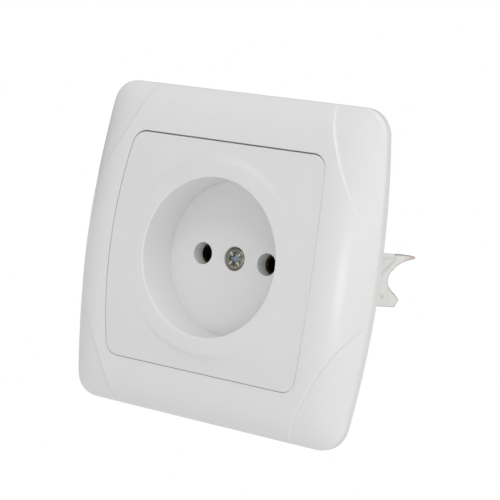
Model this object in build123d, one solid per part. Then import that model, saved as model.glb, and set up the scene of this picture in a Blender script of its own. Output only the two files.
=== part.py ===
from build123d import *
import os

# Two-pole wall socket with no earth contact, with its plug recess, frame, insert and fixing claws.
# Millimetres. The wall is the plane y = 0, +Y points into the wall, +Z is up and the front faces -Y.
# Depths called "fall" are measured backwards from the front face of the recess collar.

# Plug recess, which follows the standard two-pin plug
pin_spacing = 19.0
pin_diameter = 4.8
pin_length = 19.0
pin_hole_radius = 2.75
recess_radius = 19.25
recess_depth = 11.7
recess_edge_round = 0.35
collar_radius = 23.5
collar_edge_round = 0.45
front_projection = 9.4

# Outer frame
frame_half_width = 42.45
frame_half_height = 40.35
frame_side_bow = 3.5
frame_corner_radius = 7.0
frame_edge_fall = 7.2
frame_edge_round = 1.1
frame_wall = 1.9
surface_margin = 0.6
side_fall_length = 13.0
side_fall_power = 2.8
top_fall_length = 12.3
top_fall_power = 4.5
rib_thickness = 1.0
rib_depth = 3.0
rib_spacing = 15.0

# Recessed facets at the four corners of the frame, each behind a long arc
facet_arc_radius = 100.9
facet_arc_x = 122.0
facet_arc_z = 71.6
facet_drop = 0.7
facet_edge_keep = 0.15
facet_edge_round = 0.6

# Cover plate
plate_half_width = 29.45
plate_half_height = 28.0
plate_side_bow = 1.95
plate_corner_radius = 3.5
plate_edge_round = 0.3
plate_gap = 0.2
plate_fall = 0.05
crown_fall = 2.0
plate_wall = 2.2
ledge_fall = 4.0
ledge_width = 2.4
ledge_thickness = 1.6

# Cup of the cover plate
cup_wall = 2.0
cup_floor = 2.0
pin_collar_length = 3.8
pin_collar_wall = 1.5
cup_clearance = 0.3
screw_boss_radius = 4.2
counterbore_radius = 3.0
counterbore_depth = 1.4

# Steel mounting plate
mount_plate_thickness = 1.2
mount_plate_margin = 1.5
mount_plate_chamfer = 9.0
box_screw_spacing = 60.0
box_slot_half_width = 2.1
box_slot_length = 8.6

# Mechanism base
base_half_width = 20.0
base_depth = 25.0
base_corner_radius = 2.0
flange_wall = 2.0
flange_step = 1.6
base_skin = 2.0
chamber_half_width = 4.4
chamber_top = 5.6
chamber_bottom = 19.0
terminal_top = 8.0
terminal_foot = 3.2
core_pocket_floor = 8.4
rivet_x = 9.0
rivet_side_gap = 0.6
rivet_lug_radius = 2.8

# Contacts, springs and terminals
strip = 0.9
contact_gap_angle = 70.0
contact_clearance = 0.1
contact_front_gap = 0.5
contact_end = 20.1
spring_strip = 0.6
spring_length = 5.0
spring_offset = 3.0
tail_half_width = 3.8
clamp_half_width = 4.0
clamp_half_height = 4.0
clamp_thickness = 1.3
clamp_groove_depth = 0.4
fit_clearance = 0.15

# Screws, rivets and nut
screw_radius = 1.5
screw_hole_clearance = 0.15
head_radius = 2.75
head_height = 1.9
cover_head_height = 1.3
cover_screw_length = 10.0
claw_screw_length = 14.5
terminal_screw_length = 6.0
nut_across_flats = 5.5
nut_thickness = 2.4
rivet_head_radius = 2.6
rivet_head_height = 0.8

# Fixing claws, formed from sheet
claw_sheet = 1.0
claw_width = 13.2
claw_centre_z = 0.0
claw_hinge_x = 22.3
claw_hinge_y = 10.7
claw_pin_radius = 1.0
claw_running_clearance = 0.05
claw_arm_x = 31.4
claw_bend_y = 20.0
claw_tip_x = 34.2
claw_tip_y = 32.8
claw_bend_radius = 1.3
claw_neck_half = 4.2
claw_screw_x = 27.3
claw_slot_reach = 2.4
claw_side_gap = 0.25
ear_thickness = 1.6
ear_length = 2.7

# Depths measured from the wall, worked out from the sizes above
collar_y = -front_projection
floor_y = collar_y + recess_depth
floor_back_y = floor_y + cup_floor
pin_collar_y = floor_y + pin_collar_length
ledge_y = collar_y + ledge_fall
cup_radius = recess_radius + cup_wall
pocket_radius = cup_radius + cup_clearance
flange_radius = pocket_radius + flange_wall
cover_sheet_y = floor_back_y + contact_clearance
cover_sheet_back_y = cover_sheet_y + flange_step - contact_clearance
flange_back_y = cover_sheet_back_y + base_skin
cover_seat_y = floor_y + counterbore_depth
boss_back_y = cover_sheet_back_y - contact_clearance
contact_front_y = pin_collar_y + contact_front_gap
tail_front_y = contact_end - strip
pin_tip_y = floor_y + pin_length
pin_radius = pin_diameter / 2
sleeve_radius = pin_radius + strip
pin_collar_radius = pin_hole_radius + pin_collar_wall
base_half_height = chamber_bottom + terminal_foot
terminal_z = clamp_half_height + fit_clearance - chamber_bottom
rivet_z = base_half_height + rivet_head_radius + rivet_side_gap
screw_hole_radius = screw_radius + screw_hole_clearance
mount_plate_front_y = -mount_plate_thickness
claw_eye_radius = claw_pin_radius + claw_running_clearance + claw_sheet
sides = {"left": -1, "right": 1}


def prism(face, front, back):
    """Solid between two depths, from a face drawn on the XZ plane."""
    return Pos(0, front, 0) * extrude(face, amount=back - front, dir=(0, 1, 0))


def rod(x, z, radius, front, back):
    """Round bar that runs into the wall."""
    face = Plane.XZ * Pos(x, z) * Circle(radius)
    return prism(face, front, back)


def bar(x_low, x_high, y_low, y_high, z_low, z_high):
    """Square-edged block between two corners."""
    centre = ((x_low + x_high) / 2, (y_low + y_high) / 2, (z_low + z_high) / 2)
    return Pos(*centre) * Box(x_high - x_low, y_high - y_low, z_high - z_low)


def bowed_outline(half_width, half_height, bow, corner_radius):
    """Outline with a straight top and bottom, bowed sides and rounded corners."""
    corner_x = half_width - bow
    with BuildSketch(Plane.XZ) as sketch:
        with BuildLine():
            Line((-corner_x, half_height), (corner_x, half_height))
            ThreePointArc((corner_x, half_height), (half_width, 0), (corner_x, -half_height))
            Line((corner_x, -half_height), (-corner_x, -half_height))
            ThreePointArc((-corner_x, -half_height), (-half_width, 0), (-corner_x, half_height))
        make_face()
        fillet(sketch.vertices(), corner_radius)
    return sketch.sketch


def frame_outline(inset):
    """Frame outline, moved inwards."""
    half_width = frame_half_width - inset
    half_height = frame_half_height - inset
    return bowed_outline(half_width, half_height, frame_side_bow, frame_corner_radius - inset)


def plate_outline(grow):
    """Cover plate outline, moved outwards."""
    half_width = plate_half_width + grow
    half_height = plate_half_height + grow
    return bowed_outline(half_width, half_height, plate_side_bow, plate_corner_radius + grow)


def crown(z):
    """Fall of the crowned front, which curves back towards the top and bottom."""
    return plate_fall + crown_fall * (z / plate_half_height) ** 2


def edge_roll(x, z):
    """Share of the way from the crowned front, 0, to the outer edge of the frame, 1."""
    side_x = frame_half_width - frame_side_bow * (z / frame_half_height) ** 2
    side = max(0.0, 1 - (side_x - abs(x)) / side_fall_length) ** side_fall_power
    top = max(0.0, 1 - (frame_half_height - abs(z)) / top_fall_length) ** top_fall_power
    return side + top - side * top


def frame_fall(x, z):
    """Fall of the domed front of the frame."""
    return crown(z) + (frame_edge_fall - crown(z)) * edge_roll(x, z)


def facet_fall(x, z):
    """Fall of the corner facets, deepest beside their arcs."""
    return frame_fall(x, z) + facet_drop * max(facet_edge_keep, 1 - edge_roll(x, z))


def behind(fall, extra, back):
    """Solid that fills the space behind a front surface, given as a function of x and z."""
    steps = 44
    reach_x = frame_half_width + surface_margin
    reach_z = frame_half_height + surface_margin
    rows = []
    for i in range(steps + 1):
        z = reach_z * (2 * i / steps - 1)
        row = []
        for j in range(steps + 1):
            x = reach_x * (2 * j / steps - 1)
            row.append(Vector(x, collar_y + fall(x, z) + extra, z))
        rows.append(row)
    surface = Face.make_surface_from_array_of_points(rows, tol=0.01, min_deg=3, max_deg=5)
    depth = back - collar_y
    solid = Solid.extrude(surface, Vector(0, depth, 0))
    return solid & bar(-reach_x, reach_x, collar_y - 1, back, -reach_z, reach_z)


def facet_regions():
    """Corner areas outside the four long arcs, as upright discs."""
    discs = []
    for x in (-facet_arc_x, facet_arc_x):
        for z in (-facet_arc_z, facet_arc_z):
            discs.append(rod(x, z, facet_arc_radius, collar_y - 1, 1))
    return discs


def frame_ribs():
    """Stiffening ribs across the hollow back of the frame."""
    inner_x = plate_half_width + plate_gap + ledge_thickness / 2
    inner_z = plate_half_height + plate_gap + ledge_thickness / 2
    outer_x = frame_half_width - frame_wall / 2
    outer_z = frame_half_height - frame_wall / 2
    front = ledge_y - rib_depth
    back = ledge_y + ledge_thickness
    ribs = []
    for side in (-1, 1):
        x_low, x_high = sorted((side * inner_x, side * outer_x))
        z_low, z_high = sorted((side * inner_z, side * outer_z))
        for step in (-1, 0, 1):
            low = step * rib_spacing - rib_thickness / 2
            high = step * rib_spacing + rib_thickness / 2
            ribs.append(bar(x_low, x_high, front, back, low, high))
            ribs.append(bar(low, high, front, back, z_low, z_high))
    return ribs


def domed_block(fall):
    """Block behind a domed front, rounded where the front meets the side walls."""
    block = prism(frame_outline(0), collar_y - 1, 0) & behind(fall, 0, 0)
    front = block.faces().filter_by(GeomType.BSPLINE)
    return fillet(front.edges(), frame_edge_round)


def on_facet_arc(edge):
    """True for an edge of the front that runs along one of the four corner arcs."""
    middle = edge.position_at(0.5)
    for x in (-facet_arc_x, facet_arc_x):
        for z in (-facet_arc_z, facet_arc_z):
            from_axis = Vector(middle.X - x, 0, middle.Z - z).length
            if abs(from_axis - facet_arc_radius) < 0.01 and middle.Y < -frame_wall:
                return True
    return False


def make_frame_block():
    """Frame with its domed front and the four corner facets, before it is hollowed."""
    front = domed_block(frame_fall)
    for disc in facet_regions():
        front -= disc
    arcs = front.edges().filter_by(on_facet_arc)
    return fillet(arcs, facet_edge_round) + domed_block(facet_fall)


def make_outer_frame():
    body = make_frame_block()
    body -= prism(plate_outline(plate_gap), collar_y - 1, ledge_y)
    body -= prism(plate_outline(-ledge_width), collar_y - 1, 1)
    hollow = prism(frame_outline(frame_wall), collar_y, 1) & behind(frame_fall, frame_wall + facet_drop, 1)
    hollow -= prism(plate_outline(plate_gap + ledge_thickness), collar_y - 1, ledge_y + ledge_thickness)
    for rib in frame_ribs():
        hollow -= rib
    return body - hollow


def crowned_block(extra, back):
    """Block behind the crowned front of the cover plate."""
    reach = plate_half_width + 2
    top = plate_half_height + 2
    middle_y = collar_y + crown(0) + extra
    end_y = collar_y + crown(top) + extra
    with BuildSketch(Plane.YZ) as sketch:
        with BuildLine():
            ThreePointArc((end_y, -top), (middle_y, 0), (end_y, top))
            Polyline((end_y, top), (back, top), (back, -top), (end_y, -top))
        make_face()
    return extrude(sketch.sketch, amount=reach, both=True)


def make_cover_plate():
    body = prism(plate_outline(0), collar_y, ledge_y) & crowned_block(0, ledge_y)
    body = fillet(body.faces().sort_by(Axis.Y)[0].edges(), plate_edge_round)
    hollow = prism(plate_outline(-plate_wall), collar_y, ledge_y + 1) & crowned_block(plate_wall, ledge_y + 2)
    body -= hollow
    collar = rod(0, 0, collar_radius, collar_y, ledge_y)
    body += fillet(collar.edges().sort_by(Axis.Y)[0:1], collar_edge_round)
    body += rod(0, 0, cup_radius, ledge_y - 1, floor_back_y)
    body += rod(0, 0, screw_boss_radius, floor_y, boss_back_y)
    for side in sides.values():
        body += rod(side * pin_spacing / 2, 0, pin_collar_radius, floor_y, pin_collar_y)
    body -= rod(0, 0, recess_radius, collar_y - 1, floor_y)
    for side in sides.values():
        body -= rod(side * pin_spacing / 2, 0, pin_hole_radius, floor_y - 1, pin_collar_y + 1)
    body -= rod(0, 0, counterbore_radius, floor_y - 1, cover_seat_y)
    body -= rod(0, 0, screw_hole_radius, floor_y - 1, boss_back_y + 1)
    rim = body.edges().filter_by(GeomType.CIRCLE).filter_by(lambda e: abs(e.radius - recess_radius) < 0.01)
    return fillet(rim.sort_by(Axis.Y)[0:1], recess_edge_round)


def pan_head_screw(x, z, seat, length, head):
    """Screw driven along +Y, with its rounded head standing in front of its seat."""
    top = rod(x, z, head_radius, seat - head, seat)
    edge = top.edges().sort_by(Axis.Y)[0:1]
    return fillet(edge, head * 0.5) + rod(x, z, screw_radius, seat, seat + length)


def make_centre_nut():
    face = Plane.XZ * RegularPolygon(nut_across_flats / 2, 6, major_radius=False)
    body = prism(face, cover_sheet_back_y, cover_sheet_back_y + nut_thickness)
    return body - rod(0, 0, screw_radius, cover_sheet_back_y - 1, cover_sheet_back_y + nut_thickness + 1)


def box_slots():
    """Slots for the two screws of the wall box, one above and one below the recess."""
    cutters = []
    for side in sides.values():
        face = Plane.XZ * Pos(0, side * box_screw_spacing / 2) * Rot(0, 0, 90) * SlotOverall(
            box_slot_length, 2 * box_slot_half_width
        )
        cutters.append(prism(face, mount_plate_front_y - 1, 1))
    return cutters


def make_mounting_plate():
    half_width = frame_half_width - frame_side_bow - frame_wall - mount_plate_margin
    half_height = frame_half_height - frame_wall - mount_plate_margin
    with BuildSketch(Plane.XZ) as sketch:
        Rectangle(2 * half_width, 2 * half_height)
        chamfer(sketch.vertices(), mount_plate_chamfer)
    body = prism(sketch.sketch, mount_plate_front_y, 0)
    body -= rod(0, 0, pocket_radius, mount_plate_front_y - 1, 1)
    for cutter in box_slots():
        body -= cutter
    for side in sides.values():
        body -= rod(side * claw_screw_x, side * claw_centre_z, screw_hole_radius, mount_plate_front_y - 1, 1)
        body -= rod(side * rivet_x, side * rivet_z, screw_radius, mount_plate_front_y - 1, 1)
    return body


def claw_ears(side):
    """Two moulded ears that hold the hinge pin of one claw."""
    gap = claw_width / 2 + claw_side_gap
    ears = []
    for end in (-1, 1):
        inner = side * claw_centre_z + end * gap
        outer = inner + end * ear_thickness
        z_low, z_high = sorted((inner, outer))
        x_low, x_high = sorted((side * (base_half_width - 1), side * claw_hinge_x))
        ears.append(bar(x_low, x_high, claw_hinge_y - ear_length, claw_hinge_y + ear_length, z_low, z_high))
        tip = Pos(side * claw_hinge_x, claw_hinge_y, z_low) * extrude(Circle(ear_length), amount=ear_thickness)
        ears.append(tip)
    return ears


def claw_pin(side, radius, extra):
    """Hinge pin of one claw, through both ears."""
    half = claw_width / 2 + claw_side_gap + ear_thickness + extra
    centre = Pos(side * claw_hinge_x, claw_hinge_y, side * claw_centre_z)
    return centre * Cylinder(radius, 2 * half)


def rivet_lug(side):
    """Moulded lug that one plate rivet passes through."""
    x, z = side * rivet_x, side * rivet_z
    z_low, z_high = sorted((side * (base_half_height - base_skin), z))
    neck = bar(x - rivet_lug_radius, x + rivet_lug_radius, 0, flange_back_y, z_low, z_high)
    return neck + rod(x, z, rivet_lug_radius, 0, flange_back_y)


def make_mechanism_base():
    with BuildSketch(Plane.XZ) as sketch:
        Rectangle(2 * base_half_width, 2 * base_half_height)
        fillet(sketch.vertices(), base_corner_radius)
    block = prism(sketch.sketch, cover_sheet_back_y, base_depth)
    body = chamfer(block.faces().sort_by(Axis.Y)[-1].edges(), base_skin / 2)
    body += rod(0, 0, flange_radius, 0, flange_back_y)
    pocket_top = base_half_height - base_skin
    for side in sides.values():
        body += rivet_lug(side)
        for ear in claw_ears(side):
            body += ear
    body -= rod(0, 0, pocket_radius, -1, cover_sheet_back_y)
    pillar_depth = cover_sheet_back_y + cover_screw_length
    body -= rod(0, 0, screw_hole_radius, -1, pillar_depth)
    nut_face = Plane.XZ * RegularPolygon(nut_across_flats / 2 + fit_clearance, 6, major_radius=False)
    body -= prism(nut_face, 0, cover_sheet_back_y + nut_thickness)
    for side in sides.values():
        centre = side * pin_spacing / 2
        left, right = centre - chamber_half_width, centre + chamber_half_width
        body -= bar(left, right, 0, contact_end, -chamber_bottom, chamber_top)
        body -= rod(centre, 0, pin_hole_radius, contact_end - 1, pin_tip_y + flange_step)
        bottom = -(base_half_height + 1)
        body -= bar(left, right, contact_end, base_depth + 1, bottom, -terminal_top)
        body -= bar(left, right, flange_back_y, base_depth + 1, core_pocket_floor, pocket_top)
        body -= rod(side * rivet_x, side * rivet_z, screw_radius, -1, flange_back_y + 1)
        body -= claw_pin(side, claw_pin_radius, 0)
    return body


def make_contact_cover():
    body = rod(0, 0, cup_radius, cover_sheet_y, cover_sheet_back_y)
    body -= rod(0, 0, screw_boss_radius + fit_clearance, 0, cover_sheet_back_y + 1)
    for side in sides.values():
        body -= rod(side * pin_spacing / 2, 0, pin_collar_radius + fit_clearance, 0, cover_sheet_back_y + 1)
    return body


def open_ring(centre, side, inner, outer, front, back):
    """Ring bent from strip, with its gap on the side away from the middle of the socket."""
    ring = rod(centre, 0, outer, front, back) - rod(centre, 0, inner, front - 1, back + 1)
    with BuildSketch(Plane.XZ) as wedge:
        with BuildLine():
            half = contact_gap_angle / 2
            Line((0, 0), (outer * 2, outer * 2 * sin_degrees(half)))
            Line((outer * 2, outer * 2 * sin_degrees(half)), (outer * 2, -outer * 2 * sin_degrees(half)))
            Line((outer * 2, -outer * 2 * sin_degrees(half)), (0, 0))
        make_face()
    cutter = prism(wedge.sketch, front - 1, back + 1)
    if side < 0:
        cutter = mirror(cutter, Plane.YZ)
    return ring - Pos(centre, 0, 0) * cutter


def sin_degrees(angle):
    """Height of a unit step at an angle in degrees."""
    return Vector(1, 0, 0).rotate(Axis.Z, angle).Y


def make_contact(side):
    centre = side * pin_spacing / 2
    body = open_ring(centre, side, pin_radius, sleeve_radius, contact_front_y, tail_front_y)
    tail_end = -(chamber_bottom - fit_clearance)
    tail_top = chamber_top - fit_clearance
    tail = bar(
        centre - tail_half_width, centre + tail_half_width, tail_front_y, contact_end, tail_end, tail_top
    )
    tail -= rod(centre, 0, pin_hole_radius, tail_front_y - 1, contact_end + 1)
    tail = fillet(tail.edges().filter_by(Axis.Y).filter_by(lambda e: abs(e.center().X - centre) > 3), 1.0)
    body += tail
    return body - rod(centre, terminal_z, screw_radius, tail_front_y - 1, contact_end + 1)


def make_contact_spring(side):
    centre = side * pin_spacing / 2
    inner = sleeve_radius + contact_clearance / 2
    front = contact_front_y + spring_offset
    return open_ring(centre, side, inner, inner + spring_strip, front, front + spring_length)


def make_clamp_plate(side):
    centre = side * pin_spacing / 2
    left, right = centre - clamp_half_width, centre + clamp_half_width
    low, high = terminal_z - clamp_half_height, terminal_z + clamp_half_height
    back = contact_end + clamp_thickness
    body = bar(left, right, contact_end, back, low, high)
    body = chamfer(body.edges().filter_by(Axis.Y), clamp_groove_depth)
    groove_end = contact_end + clamp_groove_depth
    for end in (-1, 1):
        x_low, x_high = sorted((centre + end * head_radius * 0.7, centre + end * (clamp_half_width + 1)))
        body -= bar(x_low, x_high, contact_end - 1, groove_end, low - 1, high + 1)
    return body - rod(centre, terminal_z, screw_hole_radius, contact_end - 1, back + 1)


def make_terminal_screw(side):
    centre = side * pin_spacing / 2
    seat = contact_end + clamp_thickness
    head = rod(centre, terminal_z, head_radius, seat, seat + head_height)
    head = fillet(head.edges().sort_by(Axis.Y)[-1:], head_height * 0.3)
    return head + rod(centre, terminal_z, screw_radius, seat - terminal_screw_length, seat)


def make_rivet(side):
    x, z = side * rivet_x, side * rivet_z
    shank = rod(x, z, screw_radius, mount_plate_front_y, flange_back_y)
    front = rod(x, z, rivet_head_radius, mount_plate_front_y - rivet_head_height, mount_plate_front_y)
    front = fillet(front.edges().sort_by(Axis.Y)[0:1], rivet_head_height * 0.6)
    rear = rod(x, z, rivet_head_radius, flange_back_y, flange_back_y + rivet_head_height)
    rear = fillet(rear.edges().sort_by(Axis.Y)[-1:], rivet_head_height * 0.6)
    return shank + front + rear


def claw_profile():
    """Right claw seen from above: the hinge eye, the front leg and the arm that leans outwards."""
    leg_y = claw_hinge_y - claw_eye_radius + claw_sheet / 2
    with BuildSketch() as sketch:
        with BuildLine() as path:
            FilletPolyline(
                (claw_hinge_x, leg_y),
                (claw_arm_x - claw_sheet / 2, leg_y),
                (claw_arm_x - claw_sheet / 2, claw_bend_y),
                (claw_tip_x - claw_sheet / 2, claw_tip_y),
                radius=claw_bend_radius,
            )
        trace(path.line, line_width=claw_sheet)
        with Locations((claw_hinge_x, claw_hinge_y)):
            Circle(claw_eye_radius)
            Circle(claw_pin_radius + claw_running_clearance, mode=Mode.SUBTRACT)
    return sketch.sketch


def claw_side_view():
    """Claw seen from the side: hinge end, neck, and the fork with one long and one clipped prong."""
    top = claw_width / 2
    head_y = claw_hinge_y + claw_eye_radius + 0.5
    with BuildSketch(Plane.YZ) as sketch:
        with BuildLine():
            Polyline(
                (claw_hinge_y - 4, -top),
                (head_y, -top),
                (head_y, -claw_neck_half),
                (claw_bend_y - 2.6, -claw_neck_half),
                (claw_bend_y - 0.6, -top),
                (claw_tip_y - 4.4, -top),
                (claw_tip_y - 3.3, 2.1 - top),
            )
            Spline(
                (claw_tip_y - 3.3, 2.1 - top),
                (claw_tip_y - 7.9, 5.1 - top),
                (claw_tip_y - 8.4, 7.1 - top),
                (claw_tip_y - 7.7, 8.9 - top),
                (claw_tip_y - 3.6, 11.4 - top),
                (claw_tip_y, top - 0.2),
            )
            ThreePointArc((claw_tip_y, top - 0.2), (claw_tip_y - 1.3, top - 0.05), (claw_tip_y - 2.6, top))
            Polyline(
                (claw_tip_y - 2.6, top),
                (claw_bend_y - 0.6, top),
                (claw_bend_y - 2.6, claw_neck_half),
                (head_y, claw_neck_half),
                (head_y, top),
                (claw_hinge_y - 4, top),
                (claw_hinge_y - 4, -top),
            )
        make_face()
    return sketch.sketch


def make_claw(side):
    profile = Pos(0, 0, -claw_width / 2) * extrude(claw_profile(), amount=claw_width)
    body = profile & (Pos(claw_hinge_x - 4, 0, 0) * extrude(claw_side_view(), amount=20))
    leg_y = claw_hinge_y - claw_eye_radius
    slot = Plane.XZ * Pos(claw_screw_x, 0) * SlotOverall(2 * claw_slot_reach, 2 * screw_hole_radius)
    body -= prism(slot, leg_y - 1, leg_y + claw_sheet + 1)
    body = Pos(0, 0, claw_centre_z) * body
    if side < 0:
        body = body.rotate(Axis.Y, 180)
    return body


def make_parts():
    """Every piece of the socket, by the name of its node."""
    parts = {
        "outer_frame": make_outer_frame(),
        "cover_plate": make_cover_plate(),
        "cover_screw": pan_head_screw(0, 0, cover_seat_y, cover_screw_length, cover_head_height),
        "centre_nut": make_centre_nut(),
        "mounting_plate": make_mounting_plate(),
        "mechanism_base": make_mechanism_base(),
        "contact_cover": make_contact_cover(),
    }
    for name, side in sides.items():
        parts["contact_" + name] = make_contact(side)
        parts["contact_spring_" + name] = make_contact_spring(side)
        parts["clamp_plate_" + name] = make_clamp_plate(side)
        parts["terminal_screw_" + name] = make_terminal_screw(side)
        parts["plate_rivet_" + name] = make_rivet(side)
        parts["claw_" + name] = make_claw(side)
        parts["claw_pin_" + name] = claw_pin(side, claw_pin_radius, 0)
        claw_screw_z = side * claw_centre_z
        parts["claw_screw_" + name] = pan_head_screw(
            side * claw_screw_x, claw_screw_z, mount_plate_front_y, claw_screw_length, head_height
        )
    return parts


os.makedirs("parts", exist_ok=True)
for node, solid in make_parts().items():
    export_step(solid, "parts/" + node + ".step")
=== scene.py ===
import math

import bmesh
import bpy
from mathutils import Matrix, Vector


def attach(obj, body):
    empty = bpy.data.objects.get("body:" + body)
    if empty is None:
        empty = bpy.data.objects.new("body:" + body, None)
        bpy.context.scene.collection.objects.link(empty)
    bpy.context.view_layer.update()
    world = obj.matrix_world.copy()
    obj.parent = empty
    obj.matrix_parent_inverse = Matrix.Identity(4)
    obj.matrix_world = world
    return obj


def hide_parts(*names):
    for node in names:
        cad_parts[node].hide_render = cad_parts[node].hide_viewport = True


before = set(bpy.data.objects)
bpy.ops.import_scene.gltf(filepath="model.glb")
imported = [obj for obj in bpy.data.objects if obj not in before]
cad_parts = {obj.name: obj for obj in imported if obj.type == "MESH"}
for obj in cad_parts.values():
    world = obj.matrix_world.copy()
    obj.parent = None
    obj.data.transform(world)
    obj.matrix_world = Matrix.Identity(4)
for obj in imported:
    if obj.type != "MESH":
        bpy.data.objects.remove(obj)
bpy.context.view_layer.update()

# Two-pole wall socket. Metres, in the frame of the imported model: +X right, +Y into the wall, +Z up.
mm = 0.001
front_y = -9.4 * mm
frame_bottom = -40.35 * mm

# Camera, solved from the outline of the socket: three angles in radians, how far it stands from the front
# and beside it, and its focal length in widths of its view
camera_yaw = 0.5804
camera_pitch = 0.0546
camera_roll = 0.1404
camera_distance = 429.5002 * mm
camera_aside = -10.2684 * mm
camera_below = -1.7871 * mm
camera_focal_widths = 3.5918552
sensor_width = 36.0

# Light: an even sky, soft lobes of it as (direction, strength, sharpness), and a bright floor
backdrop_level = 1.0
floor_reach = 6.0
floor_drop = 60 * mm
floor_glow = 0.32
sky_level = 0.36
sky_lobes = [
    ((1.0, -0.35, 0.25), 0.88, 4.0),
    ((0.1, -0.25, 1.0), 0.7, 4.0),
]
# Two soft panels, one low and one high, as (place, width, power) in metres and watts
light_panels = [
    ((0.25, -0.45, -0.07), 0.2, 0.37),
    ((0.12, -0.4, 0.42), 0.12, 0.3),
]

# Cover plate, as in the CAD model, in millimetres, and how it settles in its opening
plate_half_height = 28.0
crown_start = 0.05
crown_depth = 2.0
collar_radius = 23.5
collar_share = 0.3
collar_blend = (22.8, 24.8)
rim_radius = 19.6
front_tolerance = 0.003
rim_tolerance = 0.01
plate_settle = 0.12
plate_settle_blend = (24.0, 27.5)
plate_spread = 0.1
plate_spread_blend = (24.0, 28.0)
plate_spokes = 360
plate_rings = 44
sharp_edge = math.radians(35)

# Fixing claw, bent from a flat blank of sheet. Millimetres: "along" runs from its hinge to its tips
claw_sheet = 1.0
claw_half_height = 6.55
claw_blank_voxel = 0.2
claw_eye_turn = math.radians(318)
claw_hinge = (22.3, 10.7)
claw_pin_clearance = 1.05
claw_leg_y = 9.15
claw_arm_x = 30.9
claw_bend_radius = 1.3
claw_fork_start = 20.0
claw_fork_lean = 2.8 / 12.8
claw_fork_bend = 0.6
claw_slot_x = 27.3
claw_slot_half = 2.4
claw_slot_radius = 1.65
claw_slot_points = 24
# Outline of the blank as (along, height, rounded)
claw_outline = [
    (13.25, -claw_half_height, False), (13.25, -4.2, False),
    (17.4, -4.2, False), (19.4, -claw_half_height, False),
    (27.5, -claw_half_height, False), (28.7, -4.65, False), (27.2, -3.45, True), (25.2, -2.2, True),
    (23.8, -0.55, True), (23.9, 1.4, True), (25.2, 3.0, True), (28.1, 4.75, True),
    (30.9, 5.55, True), (32.3, 6.1, True), (31.5, 6.45, True), (29.9, 6.57, True),
    (19.4, 6.57, False), (17.4, 4.2, False), (13.25, 4.2, False), (13.25, claw_half_height, False),
]

# Pressed relief of the fork: lines and places as (along, height), heights and depths in millimetres
relief_start = (17.6, 19.0)
pad_edge = (18.8, 0.2), (24.8, 5.4)
pad_flank = (-1.1, 1.0)
pad_end, pad_fade = 26.0, 2.2
pad_height = 0.6
fold_groove = (19.6, 5.55), (24.2, 5.75)
fold_hook = (18.9, 4.9), (19.6, 5.55)
fold_width, fold_depth = 0.3, 0.12
crease_line = (19.6, -1.7), (22.2, -3.8)
crease_width, crease_depth = 0.5, 0.12
dimple_place = (22.6, -3.9)
dimple_width, dimple_depth = 0.45, 0.2
lean_along, lean_height, lean_depth = (20.5, 25.0), (-1.0, 3.0), 0.3

# Colour of the claw: painted shade where the relief is steep and along its cut edges, and steel that shows at
# the tip of the long prong
painted_shade_slope, painted_shade_most = (0.05, 0.8), 0.55
worn_along, worn_height, worn_most = (27.0, 32.0), (4.0, 5.5), 0.8
# The blank is flat where its normal is steeper than the first, and cut where it is less so than the second,
# apart from the fold along its top, which is plated
flat_normal, cut_normal = 0.8, 0.93
fold_height, fold_end = 6.0, 24.4

# Screws, in millimetres: all have the same head radius and thread
head_radius = 2.75
head_round = 0.5
head_round_steps = 8
head_rings = 44
recess_share = 0.75
recess_margin = 0.1
thread_pitch = 0.5
thread_radius = 1.48
thread_depth = 0.22
thread_start = (0.4, 1.2)
thread_rows_per_turn = 8
point_length, point_taper = 0.8, 0.35
screw_spokes = 96
# Cross recess with four ticks between its arms: distances at which each form begins or ends, as (from, to)
cross_side, cross_end, cross_depth_share = (0.4, 0.56), (1.4, 1.75), 0.95
core_edge = (0.7, 0.95)
tick_side, tick_start, tick_end, tick_fill = (0.12, 0.22), (0.95, 1.1), (2.0, 2.15), 0.9
flank_place, flank_width, flank_start, flank_end = 0.42, 0.18, (1.3, 1.5), (2.0, 2.2)
flank_depth_share = 0.2
tick_shows, recess_shows, stain_shows = 0.4, 0.5, 0.4
# Which metal of a screw shows: its head, its ticks, the bottom of its recess and the stains beside the ticks
head_metal, tick_metal, recess_metal, stain_metal = range(4)

# Places of the screws: seat, head height and length, and how far they lie from the middle
cover_screw_seat, cover_screw_head, cover_screw_length = 3.7, 1.3, 10.0
claw_screw_seat, claw_screw_head, claw_screw_length = -1.2, 1.9, 14.5
terminal_screw_x, terminal_screw_z = 9.5, -14.85
terminal_screw_seat, terminal_screw_head, terminal_screw_length = 21.4, 1.9, 6.0

# Materials: scales of their noise in cycles per metre, and heights of their fine relief in metres
cloud_scale, plating_scale, streak_scale = 60.0, 350.0, 900.0
cloud_detail, plating_detail, streak_detail = 4.0, 6.0, 5.0
cloud_shade = 0.985
gloss_spread, streak_spread = 0.15, 0.25
mould_grain, base_grain, board_grain = 2500.0, 1500.0, 1200.0
mould_relief, metal_relief, sheet_relief = 0.000002, 0.000004, 0.000005
base_relief, board_relief = 0.00001, 0.00002
plastic_ior = 1.5
# Light that enters the white mouldings: its share, how far each colour of it goes, and how deep
glow_share, glow_colours, glow_depth = 0.35, (1.0, 0.9, 0.8), 1.2 * mm
# Streaks of a metal: its noise is stretched along the way that it is rolled or turned
rolled_x, rolled_y, rolled_z, unrolled = (0.1, 1, 1), (1, 0.1, 1), (1, 1, 0.05), (1, 1, 1)


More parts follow.
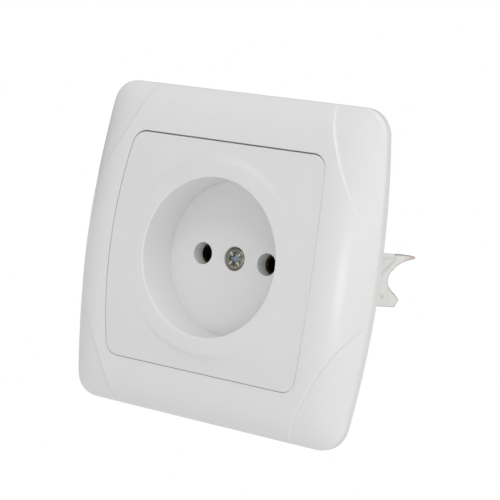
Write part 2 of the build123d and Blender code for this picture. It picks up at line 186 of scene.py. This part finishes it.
def place_camera():
    """Camera at the view of the photograph, with the socket a little off its middle."""
    yaw, pitch, roll = camera_yaw, camera_pitch, camera_roll
    forward = Vector((-math.sin(yaw) * math.cos(pitch), math.cos(yaw) * math.cos(pitch), -math.sin(pitch)))
    level_right = Vector((math.cos(yaw), math.sin(yaw), 0))
    level_up = level_right.cross(forward)
    right = math.cos(roll) * level_right + math.sin(roll) * level_up
    up = math.cos(roll) * level_up - math.sin(roll) * level_right
    place = Vector((0, front_y, 0)) - camera_aside * right - camera_below * up - camera_distance * forward
    data = bpy.data.cameras.new("camera")
    data.sensor_width = sensor_width
    data.lens = camera_focal_widths * sensor_width
    data.clip_start = 0.01
    camera = bpy.data.objects.new("camera", data)
    turn = Matrix((right, up, -forward)).transposed().to_4x4()
    camera.matrix_world = Matrix.Translation(place) @ turn
    bpy.context.scene.collection.objects.link(camera)
    bpy.context.scene.camera = camera


def sky_strength(nodes, links):
    """Strength of the sky, worked out from the direction that it is seen in."""
    where = nodes.new("ShaderNodeTexCoord")
    total = None
    for direction, strength, sharpness in sky_lobes:
        towards = nodes.new("ShaderNodeVectorMath")
        towards.operation = "DOT_PRODUCT"
        towards.inputs[1].default_value = Vector(direction).normalized()
        links.new(where.outputs["Generated"], towards.inputs[0])
        lobe = towards.outputs["Value"]
        for operation, value in (("MAXIMUM", 0.0), ("POWER", sharpness), ("MULTIPLY", strength)):
            step = nodes.new("ShaderNodeMath")
            step.operation = operation
            step.inputs[1].default_value = value
            links.new(lobe, step.inputs[0])
            lobe = step.outputs["Value"]
        total = add(nodes, links, lobe, sky_level if total is None else total)
    return total


def add(nodes, links, first, second):
    """Sum of a socket and a number or a second socket."""
    node = nodes.new("ShaderNodeMath")
    links.new(first, node.inputs[0])
    if isinstance(second, float):
        node.inputs[1].default_value = second
    else:
        links.new(second, node.inputs[1])
    return node.outputs["Value"]


def seen_or_lit(nodes, links, seen, lit, output):
    """Shader that the camera sees as one thing, while it lights and reflects as another."""
    path = nodes.new("ShaderNodeLightPath")
    mix = nodes.new("ShaderNodeMixShader")
    links.new(path.outputs["Is Camera Ray"], mix.inputs["Fac"])
    links.new(lit, mix.inputs[1])
    links.new(seen, mix.inputs[2])
    links.new(mix.outputs["Shader"], output.inputs["Surface"])


def set_world():
    """White backdrop behind the socket, with the sky that lights it."""
    world = bpy.data.worlds.new("studio")
    bpy.context.scene.world = world
    world.use_nodes = True
    nodes, links = world.node_tree.nodes, world.node_tree.links
    nodes.clear()
    output = nodes.new("ShaderNodeOutputWorld")
    lit = nodes.new("ShaderNodeBackground")
    seen = nodes.new("ShaderNodeBackground")
    links.new(sky_strength(nodes, links), lit.inputs["Strength"])
    lit.inputs["Color"].default_value = (1, 1, 1, 1)
    seen.inputs["Color"].default_value = (1, 1, 1, 1)
    seen.inputs["Strength"].default_value = backdrop_level
    seen_or_lit(nodes, links, seen.outputs["Background"], lit.outputs["Background"], output)


def make_floor():
    """Wide pale floor, well below the socket."""
    mesh = bpy.data.meshes.new("floor")
    corners = [(x * floor_reach, y * floor_reach, 0) for x, y in ((-1, -1), (1, -1), (1, 1), (-1, 1))]
    mesh.from_pydata(corners, [], [(0, 1, 2, 3)])
    floor = bpy.data.objects.new("floor", mesh)
    floor.location.z = frame_bottom - floor_drop
    bpy.context.scene.collection.objects.link(floor)
    material, nodes, links, shader = new_material("floor_white")
    shader.inputs["Base Color"].default_value = (0.5, 0.5, 0.5, 1)
    shader.inputs["Roughness"].default_value = 0.9
    shader.inputs["Emission Color"].default_value = (1, 1, 1, 1)
    shader.inputs["Emission Strength"].default_value = floor_glow
    seen = nodes.new("ShaderNodeEmission")
    seen.inputs["Strength"].default_value = backdrop_level
    seen_or_lit(nodes, links, seen.outputs["Emission"], shader.outputs["BSDF"], nodes["Material Output"])
    mesh.materials.append(material)


def hang_panels():
    """Soft light panels that face the socket."""
    for place, width, power in light_panels:
        data = bpy.data.lights.new("panel", "AREA")
        data.energy = power
        data.size = width
        panel = bpy.data.objects.new("panel", data)
        panel.location = place
        panel.rotation_euler = (-Vector(place)).to_track_quat("-Z", "Y").to_euler()
        bpy.context.scene.collection.objects.link(panel)


def new_material(name):
    """Empty node material with its shader, as (material, nodes, links, shader)."""
    material = bpy.data.materials.new(name)
    material.use_nodes = True
    tree = material.node_tree
    return material, tree.nodes, tree.links, tree.nodes["Principled BSDF"]


def noise(nodes, links, scale, detail=cloud_detail, stretch=unrolled):
    """Noise in the piece's own space, with scale in cycles per metre."""
    where = nodes.new("ShaderNodeTexCoord")
    mapping = nodes.new("ShaderNodeMapping")
    mapping.inputs["Scale"].default_value = stretch
    texture = nodes.new("ShaderNodeTexNoise")
    texture.inputs["Scale"].default_value = scale
    texture.inputs["Detail"].default_value = detail
    links.new(where.outputs["Object"], mapping.inputs["Vector"])
    links.new(mapping.outputs["Vector"], texture.inputs["Vector"])
    return texture.outputs["Fac"]


def colour_between(nodes, links, factor, low, high):
    """Colour that runs from low to high with a 0 to 1 factor."""
    ramp = nodes.new("ShaderNodeValToRGB")
    ramp.color_ramp.elements[0].position = 0.3
    ramp.color_ramp.elements[1].position = 0.7
    ramp.color_ramp.elements[0].color = (*low, 1)
    ramp.color_ramp.elements[1].color = (*high, 1)
    links.new(factor, ramp.inputs["Fac"])
    return ramp.outputs["Color"]


def value_between(nodes, links, factor, low, high):
    """Number that runs from low to high with a 0 to 1 factor."""
    span = nodes.new("ShaderNodeMapRange")
    span.inputs["To Min"].default_value = low
    span.inputs["To Max"].default_value = high
    links.new(factor, span.inputs["Value"])
    return span.outputs["Result"]


def bump(nodes, links, height, distance, shader):
    """Fine relief of a given height in metres."""
    node = nodes.new("ShaderNodeBump")
    node.inputs["Strength"].default_value = 1.0
    node.inputs["Distance"].default_value = distance
    links.new(height, node.inputs["Height"])
    links.new(node.outputs["Normal"], shader.inputs["Normal"])


def uneven_gloss(nodes, links, factor, roughness, spread, shader):
    """Roughness that varies by a share of itself with a 0 to 1 factor."""
    gloss = value_between(nodes, links, factor, roughness * (1 - spread), roughness * (1 + spread))
    links.new(gloss, shader.inputs["Roughness"])


def plastic(name, colour, roughness, grain, relief, translucent=False):
    """Moulded plastic: faintly cloudy colour, uneven gloss and a fine moulded texture."""
    material, nodes, links, shader = new_material(name)
    clouds = noise(nodes, links, cloud_scale)
    darker = tuple(cloud_shade * c for c in colour)
    links.new(colour_between(nodes, links, clouds, darker, colour), shader.inputs["Base Color"])
    fine = noise(nodes, links, grain)
    uneven_gloss(nodes, links, fine, roughness, gloss_spread, shader)
    bump(nodes, links, fine, relief, shader)
    shader.inputs["IOR"].default_value = plastic_ior
    if translucent:
        shader.inputs["Subsurface Weight"].default_value = glow_share
        shader.inputs["Subsurface Radius"].default_value = glow_colours
        shader.inputs["Subsurface Scale"].default_value = glow_depth
    return material


def metal(name, colour, tint, roughness, stretch, relief=metal_relief):
    """Plated or rolled metal, as a finished material."""
    return metal_nodes(name, colour, tint, roughness, stretch, relief)[0]


def metal_nodes(name, colour, tint, roughness, stretch, relief):
    """Nodes of a metal: colour patches of plating, and streaks along the rolling direction."""
    material, nodes, links, shader = new_material(name)
    patches = noise(nodes, links, plating_scale, plating_detail)
    links.new(colour_between(nodes, links, patches, colour, tint), shader.inputs["Base Color"])
    streaks = noise(nodes, links, streak_scale, streak_detail, stretch)
    uneven_gloss(nodes, links, streaks, roughness, streak_spread, shader)
    bump(nodes, links, streaks, relief, shader)
    shader.inputs["Metallic"].default_value = 1.0
    return material, nodes, links, shader


def dress(material, *names):
    """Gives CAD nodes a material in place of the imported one."""
    for name in names:
        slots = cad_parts[name].data.materials
        slots.clear()
        slots.append(material)


def both(name):
    """Left and right node of a pair."""
    return name + "_left", name + "_right"


def crown_fall(z):
    """How far the crowned plate lies behind its collar at a height, as in the CAD model."""
    return crown_start + crown_depth * (z / plate_half_height) ** 2


def softened_fall(x, z, edge_radius):
    """The same with the collar blended into the plate, so that it shows above and below the recess only."""
    radius = math.hypot(x, z)
    flatter = crown_start + crown_depth * (z / plate_half_height) ** 4
    outward = smooth_step((radius - collar_radius) / (edge_radius - collar_radius), 0.0, 1.0)
    fall = flatter + (crown_fall(z) - flatter) * outward
    start = collar_share * smooth_step(radius, rim_radius, collar_radius)
    return fall * (start + (1 - start) * smooth_step(radius, *collar_blend))


def loop_radius(loop, angle):
    """Distance from the recess axis to a closed line of (x, z) points, at an angle."""
    least_turn, end_slack = 1e-9, 1e-6
    along = Vector((math.cos(angle), math.sin(angle)))
    best = 0.0
    for start, end in zip(loop, loop[1:] + loop[:1]):
        line = end - start
        turn = along.cross(line)
        if abs(turn) > least_turn:
            share = start.cross(along) / turn
            reach = start.cross(line) / turn
            if -end_slack <= share <= 1 + end_slack and reach > best:
                best = reach
    return best


def on_plate_front(face):
    """Whether a face of the CAD plate belongs to its crowned front or to its collar."""
    for vertex in face.verts:
        fall = (vertex.co.y - front_y) / mm
        radius = math.hypot(vertex.co.x, vertex.co.z) / mm
        if radius < rim_radius - rim_tolerance or fall > crown_fall(vertex.co.z / mm) + front_tolerance:
            return False
    return True


def ordered_loops(edges):
    """Closed loops of vertices, in order, from loose boundary edges."""
    loops = []
    left = dict.fromkeys(edges)
    while left:
        edge = next(iter(left))
        del left[edge]
        loop = [edge.verts[0], edge.verts[1]]
        while loop[-1] != loop[0]:
            edge = next(e for e in loop[-1].link_edges if e in left)
            del left[edge]
            loop.append(edge.other_vert(loop[-1]))
        loops.append(loop[:-1])
    return loops


def plate_front(build, outline):
    """Rings of vertices over the front of the plate, from the rim of the recess to the outline."""
    spokes = []
    for step in range(plate_spokes):
        angle = 2 * math.pi * step / plate_spokes
        spokes.append((math.cos(angle), math.sin(angle), loop_radius(outline, angle)))
    rings = []
    for row in range(plate_rings):
        share = (row + 0.5) / plate_rings
        ring = []
        for across, up, edge_radius in spokes:
            radius = rim_radius + (edge_radius - rim_radius) * share
            x, z = radius * across, radius * up
            fall = softened_fall(x, z, edge_radius)
            ring.append(build.verts.new((x * mm, front_y + fall * mm, z * mm)))
        rings.append(ring)
    for inner, outer in zip(rings, rings[1:]):
        for step in range(plate_spokes):
            after = (step + 1) % plate_spokes
            build.faces.new((inner[step], outer[step], outer[after], inner[after]))
    return rings[0], rings[-1]


def ring_edges(ring):
    """Edges of a closed ring of vertices."""
    pairs = zip(ring, ring[1:] + ring[:1])
    return [next(e for e in first.link_edges if e.other_vert(first) == second) for first, second in pairs]


def make_cover_plate(material):
    """Cover plate whose collar runs softly into the crowned front."""
    build = bmesh.new()
    build.from_mesh(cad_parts["cover_plate"].data)
    bmesh.ops.remove_doubles(build, verts=build.verts, dist=0.001 * mm)
    bmesh.ops.delete(build, geom=[face for face in build.faces if on_plate_front(face)], context="FACES")
    loops = ordered_loops([edge for edge in build.edges if edge.is_boundary])
    loops.sort(key=lambda loop: max(vertex.co.length for vertex in loop))
    outline = [Vector((vertex.co.x, vertex.co.z)) / mm for vertex in loops[-1]]
    first, last = plate_front(build, outline)
    for loop, ring in ((loops[0], first), (loops[-1], last)):
        bmesh.ops.bridge_loops(build, edges=ring_edges(loop) + ring_edges(ring))
    for vertex in build.verts:
        radius = math.hypot(vertex.co.x, vertex.co.z)
        vertex.co.z -= plate_settle * mm * smooth_step(radius / mm, *plate_settle_blend)
        aside = smooth_step(abs(vertex.co.x) / mm, *plate_spread_blend)
        vertex.co.x += math.copysign(plate_spread * mm, vertex.co.x) * aside
    bmesh.ops.recalc_face_normals(build, faces=build.faces)
    mesh = bpy.data.meshes.new("cover_plate")
    build.to_mesh(mesh)
    build.free()
    if "custom_normal" in mesh.attributes:
        mesh.attributes.remove(mesh.attributes["custom_normal"])
    add_piece("cover_plate", mesh, "root", material)
    mesh.set_sharp_from_angle(angle=sharp_edge)


def smooth_step(value, low, high):
    """Rises smoothly from 0 at low to 1 at high."""
    t = min(max((value - low) / (high - low), 0.0), 1.0)
    return t * t * (3 - 2 * t)


def ridge(distance, width):
    """Rounded ridge that is 1 at no distance and fades out past its width."""
    return math.exp(-(distance / width) ** 2)


def from_line(point, start, end):
    """Distance of a point from a line piece, and its signed distance to the left of it."""
    line = Vector(end) - Vector(start)
    offset = Vector(point) - Vector(start)
    reach = min(max(offset.dot(line) / line.length_squared, 0.0), 1.0)
    return (offset - reach * line).length, line.cross(offset) / line.length


def flat_curve(outlines):
    """Flat closed curve through outlines of (x, y, rounded), filled and as thick as the claw."""
    curve = bpy.data.curves.new("blank", "CURVE")
    curve.dimensions = "2D"
    curve.fill_mode = "BOTH"
    curve.extrude = claw_sheet / 2
    curve.resolution_u = 12
    for outline in outlines:
        spline = curve.splines.new("BEZIER")
        spline.bezier_points.add(len(outline) - 1)
        spline.use_cyclic_u = True
        for knot, (x, y, rounded) in zip(spline.bezier_points, outline):
            knot.co = (x, y, 0)
            knot.handle_left_type = knot.handle_right_type = "AUTO" if rounded else "VECTOR"
    return curve


def slot_outline():
    """Outline of the clear slot in the leg of the claw, on its flat blank."""
    middle = claw_slot_x - claw_arm_x + claw_bend_radius + leg_end()
    outline = []
    for step in range(claw_slot_points):
        angle = 2 * math.pi * (step + 0.5) / claw_slot_points
        reach = math.copysign(claw_slot_half - claw_slot_radius, math.cos(angle))
        x = middle + reach + claw_slot_radius * math.cos(angle)
        outline.append((x, claw_slot_radius * math.sin(angle), False))
    return outline


def leg_end():
    """Place along the blank where the leg ends and the bend begins."""
    return claw_leg_y + claw_bend_radius * (1 - math.pi / 2)


def eye_start():
    """Place along the blank where the hinge eye ends and the leg begins."""
    return leg_end() - (claw_arm_x - claw_bend_radius - claw_hinge[0])


def claw_path(along):
    """Middle of the bent sheet and its outward normal, seen from above, at a place along the blank."""
    bend_y = claw_leg_y + claw_bend_radius
    if along >= bend_y:
        past = along - claw_fork_start
        soft = (past + math.hypot(past, claw_fork_bend)) / 2
        slope = claw_fork_lean * (1 + past / math.hypot(past, claw_fork_bend)) / 2
        return Vector((claw_arm_x + claw_fork_lean * soft, along)), Vector((1, -slope)).normalized()
    if along >= leg_end():
        angle = (along - leg_end()) / claw_bend_radius
        centre = Vector((claw_arm_x - claw_bend_radius, bend_y))
        outward = Vector((math.sin(angle), -math.cos(angle)))
        return centre + claw_bend_radius * outward, outward
    if along >= eye_start():
        return Vector((claw_hinge[0] + along - eye_start(), claw_leg_y)), Vector((0, -1))
    radius = claw_pin_clearance + claw_sheet / 2
    angle = (eye_start() - along) / radius
    outward = Vector((-math.sin(angle), -math.cos(angle)))
    return Vector(claw_hinge) + radius * outward, outward


def claw_relief(along, height):
    """How far the fork is pressed outwards: a pad above a diagonal crease, a folded top edge and a dimple."""
    spot = (along, height)
    _, beside = from_line(spot, *pad_edge)
    pad = smooth_step(beside, *pad_flank) * smooth_step(pad_end - along, 0.0, pad_fade)
    groove, _ = from_line(spot, *fold_groove)
    hook, _ = from_line(spot, *fold_hook)
    crease, _ = from_line(spot, *crease_line)
    lean = smooth_step(along, *lean_along) * (1 - smooth_step(height, *lean_height))
    relief = pad_height * (pad - 1) - lean_depth * lean
    relief -= fold_depth * ridge(min(groove, hook), fold_width)
    relief -= crease_depth * ridge(crease, crease_width)
    relief -= dimple_depth * ridge(math.dist(spot, dimple_place), dimple_width)
    return relief * smooth_step(along, *relief_start)


def claw_slope(along, height):
    """How steeply the pressed relief falls at a place, which sets how much shade is painted there."""
    step = 0.15
    here = claw_relief(along, height)
    rise_along = claw_relief(along + step, height) - here
    rise_up = claw_relief(along, height + step) - here
    return math.hypot(rise_along, rise_up) / step


def claw_metal():
    """White zinc plating with painted shade, grey in its creases and along its cut edges, and worn to
    brownish steel at the tip of the long prong.
    """
    white, yellowed = (0.97, 0.97, 0.93), (0.92, 0.92, 0.87)
    material, nodes, links, shader = metal_nodes("claw_zinc", white, yellowed, 0.3, rolled_z, sheet_relief)
    shader.inputs["Metallic"].default_value = 0.3
    plating = shader.inputs["Base Color"].links[0].from_socket
    # Painted shade first, grey where the relief is steep and along the cut edges; then the worn steel of the
    # tip
    for name, colour in (("painted_shade", (0.38, 0.38, 0.35, 1)), ("worn", (0.72, 0.55, 0.44, 1))):
        amount = nodes.new("ShaderNodeAttribute")
        amount.attribute_name = name
        blend = nodes.new("ShaderNodeMix")
        blend.data_type = "RGBA"
        blend.inputs["B"].default_value = colour
        links.new(amount.outputs["Fac"], blend.inputs["Factor"])
        links.new(plating, blend.inputs["A"])
        plating = blend.outputs["Result"]
    links.new(plating, shader.inputs["Base Color"])
    return material


def is_cut(face):
    """Whether a face of the flat blank is on its cut edge, but not on the plated fold at the top."""
    along, height, _ = face.center
    return abs(face.normal.z) < cut_normal and not (height > fold_height and along < fold_end)


def flat_blank():
    """Evenly and finely meshed flat blank of the claw, with slightly worn corners."""
    start = eye_start() - (claw_pin_clearance + claw_sheet / 2) * claw_eye_turn
    outline = claw_outline + [(start, claw_half_height, False), (start, -claw_half_height, False)]
    flat = bpy.data.objects.new("blank", flat_curve([outline, slot_outline()]))
    blank = bpy.data.objects.new("blank", bpy.data.meshes.new_from_object(flat))
    bpy.context.scene.collection.objects.link(blank)
    remesh = blank.modifiers.new("even", "REMESH")
    remesh.mode = "VOXEL"
    remesh.voxel_size = claw_blank_voxel
    smooth = blank.modifiers.new("worn", "SMOOTH")
    smooth.factor = 0.5
    smooth.iterations = 2
    mesh = bpy.data.meshes.new_from_object(blank.evaluated_get(bpy.context.evaluated_depsgraph_get()))
    bpy.data.objects.remove(blank)
    is_flat = [abs(vertex.normal.z) > flat_normal for vertex in mesh.vertices]
    for vertex, flat_here in zip(mesh.vertices, is_flat):
        if flat_here:
            vertex.co.z = math.copysign(claw_sheet / 2, vertex.co.z)
    mesh.update()
    return mesh


def make_claw(side, name, materials):
    """Claw pressed and bent from its blank, which is coloured at the same time, with painted shade in its
    creases and along its cut edges.
    """
    mesh = flat_blank()
    cut_edge = [is_cut(face) for face in mesh.polygons]
    for attribute in ("worn", "painted_shade"):
        mesh.attributes.new(attribute, "FLOAT", "POINT")
    worn, painted_shade = mesh.attributes["worn"].data, mesh.attributes["painted_shade"].data
    for vertex in mesh.vertices:
        along, height, off = vertex.co
        near_tip = smooth_step(along, *worn_along) * smooth_step(height, *worn_height)
        worn[vertex.index].value = worn_most * near_tip
        # Painted shade on the outer face, darker where the relief falls steeply
        if off > 0:
            painted_shade[vertex.index].value = painted_shade_most * smooth_step(claw_slope(along, height), *painted_shade_slope)
        middle, outward = claw_path(along)
        x, y = middle + (off + claw_relief(along, height)) * outward
        vertex.co = Vector((side * x, y, side * height)) * mm
    add_piece(name, mesh, name, materials[0])
    mesh.materials.append(materials[1])
    painted_shade = mesh.attributes["painted_shade"].data
    # Painted shade at full strength on the corners of the cut faces, which also darkens the plated faces
    # beside them
    for face, cut in zip(mesh.polygons, cut_edge):
        if cut:
            face.material_index = 1
            for index in face.vertices:
                painted_shade[index].value = 1.0


def add_piece(name, mesh, body, material):
    """New piece that stands for the CAD node of the same name."""
    mesh.name = name + "_detailed"
    mesh.materials.clear()
    mesh.materials.append(material)
    mesh.shade_smooth()
    piece = bpy.data.objects.new(name + "_detailed", mesh)
    bpy.context.scene.collection.objects.link(piece)
    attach(piece, body)
    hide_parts(name)


def cross_depth(x, z):
    """Recess of a screw head at a point in millimetres: its relative depth, and which of its metals shows."""
    narrow, far = sorted((abs(x), abs(z)))
    radius = math.hypot(x, z)
    diagonal = (far - narrow) / math.sqrt(2)
    cross = (1 - smooth_step(narrow, *cross_side)) * (1 - smooth_step(far, *cross_end))
    core = 1 - smooth_step(radius, *core_edge)
    reach = smooth_step(radius, *tick_start) * (1 - smooth_step(radius, *tick_end))
    tick = (1 - smooth_step(diagonal, *tick_side)) * reach
    reach = smooth_step(radius, *flank_start) * (1 - smooth_step(radius, *flank_end))
    flank = ridge(diagonal - flank_place, flank_width) * reach
    if tick > tick_shows:
        metal_index = tick_metal
    elif max(cross, core) > recess_shows:
        metal_index = recess_metal
    else:
        metal_index = stain_metal if flank > stain_shows else head_metal
    depth = max(cross_depth_share * cross, core, flank_depth_share * flank)
    return depth * (1 - tick_fill * tick), metal_index


def screw_rows(head_height, length):
    """Rows of a screw from the middle of its head to its point: functions of the angle to (radius, depth)."""
    edge = head_height * head_round
    rows = []
    for ring in range(1, head_rings + 1):
        radius = (head_radius - edge) * ring / head_rings
        rows.append(lambda angle, radius=radius: (radius, 0.0))
    for step in range(1, head_round_steps + 1):
        turn = math.pi / 2 * step / head_round_steps
        spot = (head_radius - edge + edge * math.sin(turn), edge - edge * math.cos(turn))
        rows.append(lambda angle, spot=spot: spot)
    rows.append(lambda angle: (head_radius, head_height))
    steps = int(length / thread_pitch * thread_rows_per_turn)
    for step in range(steps + 1):
        depth = length * step / steps
        rows.append(lambda angle, depth=depth: (thread_at(angle, depth, length), head_height + depth))
    return rows


def thread_at(angle, depth, length):
    """Radius of the threaded shank at an angle and depth, with a plain neck and a tapered point."""
    turn = (depth / thread_pitch - angle / (2 * math.pi)) % 1.0
    cut = thread_depth * (1 - abs(2 * turn - 1)) * smooth_step(depth, *thread_start)
    return thread_radius - cut - point_taper * smooth_step(depth, length - point_length, length)


def screw_mesh(x, z, seat, head_height, length, into):
    """Mesh of a screw whose head has its underside at seat, and whose shank points into the part."""
    build = bmesh.new()
    recess = head_height * recess_share
    first = build.verts.new((x * mm, (seat + into * (recess - head_height)) * mm, z * mm))
    loops = []
    for row in screw_rows(head_height, length):
        loop = []
        for step in range(screw_spokes):
            angle = 2 * math.pi * step / screw_spokes
            radius, depth = row(angle)
            across, up = radius * math.cos(angle), radius * math.sin(angle)
            if depth == 0.0:
                depth = cross_depth(across, up)[0] * recess
            y = seat + into * (depth - head_height)
            loop.append(build.verts.new(((x + into * across) * mm, y * mm, (z + up) * mm)))
        loops.append(loop)
    last = build.verts.new((x * mm, (seat + into * length) * mm, z * mm))
    for step in range(screw_spokes):
        after = (step + 1) % screw_spokes
        build.faces.new((first, loops[0][step], loops[0][after]))
        build.faces.new((last, loops[-1][after], loops[-1][step]))
        for inner, outer in zip(loops, loops[1:]):
            build.faces.new((inner[step], outer[step], outer[after], inner[after]))
    bmesh.ops.recalc_face_normals(build, faces=build.faces)
    mesh = bpy.data.meshes.new("screw")
    build.to_mesh(mesh)
    build.free()
    return mesh


def make_screw(node, x, z, seat, head_height, length, materials, into=1):
    """Pan-head screw with a cross recess and a cut thread, that points along +Y, or along -Y for into -1."""
    mesh = screw_mesh(x, z, seat, head_height, length, into)
    add_piece(node, mesh, "root", materials[0])
    for material in materials[1:]:
        mesh.materials.append(material)
    deepest = head_height * (recess_share - 1) + recess_margin
    flat_radius = head_radius - head_height * head_round
    for face in mesh.polygons:
        centre = face.center / mm
        across, up = centre.x - x, centre.z - z
        if into * (centre.y - seat) < deepest and math.hypot(across, up) < flat_radius:
            face.material_index = cross_depth(across, up)[1]


place_camera()
set_world()
make_floor()
hang_panels()

white_gloss = plastic("white_gloss", (0.85, 0.85, 0.85), 0.22, mould_grain, mould_relief, True)
white_cover = plastic("white_cover", (0.83, 0.83, 0.83), 0.25, mould_grain, mould_relief, True)
# Mechanism base painted near black so that the pin holes look as dark as the shade inside them: painted shade
shade_black_base = plastic("shade_black_base", (0.035, 0.033, 0.03), 0.45, base_grain, base_relief)
grey_board = plastic("grey_board", (0.6, 0.58, 0.52), 0.6, board_grain, board_relief)
zinc_sheet = metal("zinc_sheet", (0.78, 0.78, 0.75), (0.84, 0.84, 0.8), 0.35, rolled_z, sheet_relief)
bright_steel = metal("bright_steel", (0.66, 0.66, 0.66), (0.6, 0.6, 0.62), 0.3, rolled_y)
blued_steel = metal("blued_steel", (0.25, 0.26, 0.32), (0.34, 0.32, 0.3), 0.3, rolled_y)
# Brass darker than its own dull colour alone, so that the pin holes look dark: partly the brass's colour,
# partly painted shade
brass_darkened_for_shade = metal("brass_darkened_for_shade", (0.26, 0.17, 0.07), (0.2, 0.14, 0.07), 0.35, rolled_y)
clamp_zinc = metal("clamp_zinc", (0.7, 0.69, 0.62), (0.75, 0.74, 0.7), 0.3, rolled_x)
# In the order of the metals of a screw, from head_metal to stain_metal
screw_metals = (
    metal("yellow_zinc", (0.36, 0.33, 0.26), (0.26, 0.25, 0.22), 0.28, rolled_y),
    metal("worn_zinc", (0.9, 0.86, 0.74), (0.84, 0.81, 0.72), 0.35, unrolled),
    metal("blue_zinc", (0.25, 0.34, 0.42), (0.4, 0.46, 0.5), 0.25, unrolled),
    metal("olive_zinc", (0.17, 0.15, 0.09), (0.22, 0.21, 0.16), 0.35, unrolled),
)
claw_metals = (
    claw_metal(),
    # Cut edges: darker steel, partly the bare steel of the cut and partly painted shade of the rounded edge
    metal("cut_steel_and_shade", (0.5, 0.48, 0.44), (0.42, 0.38, 0.34), 0.4, unrolled, sheet_relief),
)

dress(white_gloss, "outer_frame")
dress(shade_black_base, "mechanism_base")
dress(grey_board, "contact_cover")
dress(zinc_sheet, "mounting_plate")
dress(bright_steel, "centre_nut", *both("plate_rivet"), *both("claw_pin"))
dress(blued_steel, *both("contact_spring"))
dress(brass_darkened_for_shade, *both("contact"))
dress(clamp_zinc, *both("clamp_plate"))
make_cover_plate(white_cover)
make_screw("cover_screw", 0, 0, cover_screw_seat, cover_screw_head, cover_screw_length, screw_metals)
for side, suffix in ((-1, "_left"), (1, "_right")):
    make_claw(side, "claw" + suffix, claw_metals)
    make_screw("claw_screw" + suffix, side * claw_slot_x, 0, claw_screw_seat, claw_screw_head,
               claw_screw_length, screw_metals)
    make_screw("terminal_screw" + suffix, side * terminal_screw_x, terminal_screw_z, terminal_screw_seat,
               terminal_screw_head, terminal_screw_length, screw_metals, -1)

scene = bpy.context.scene
scene.view_settings.view_transform = "Standard"
scene.view_settings.look = "None"
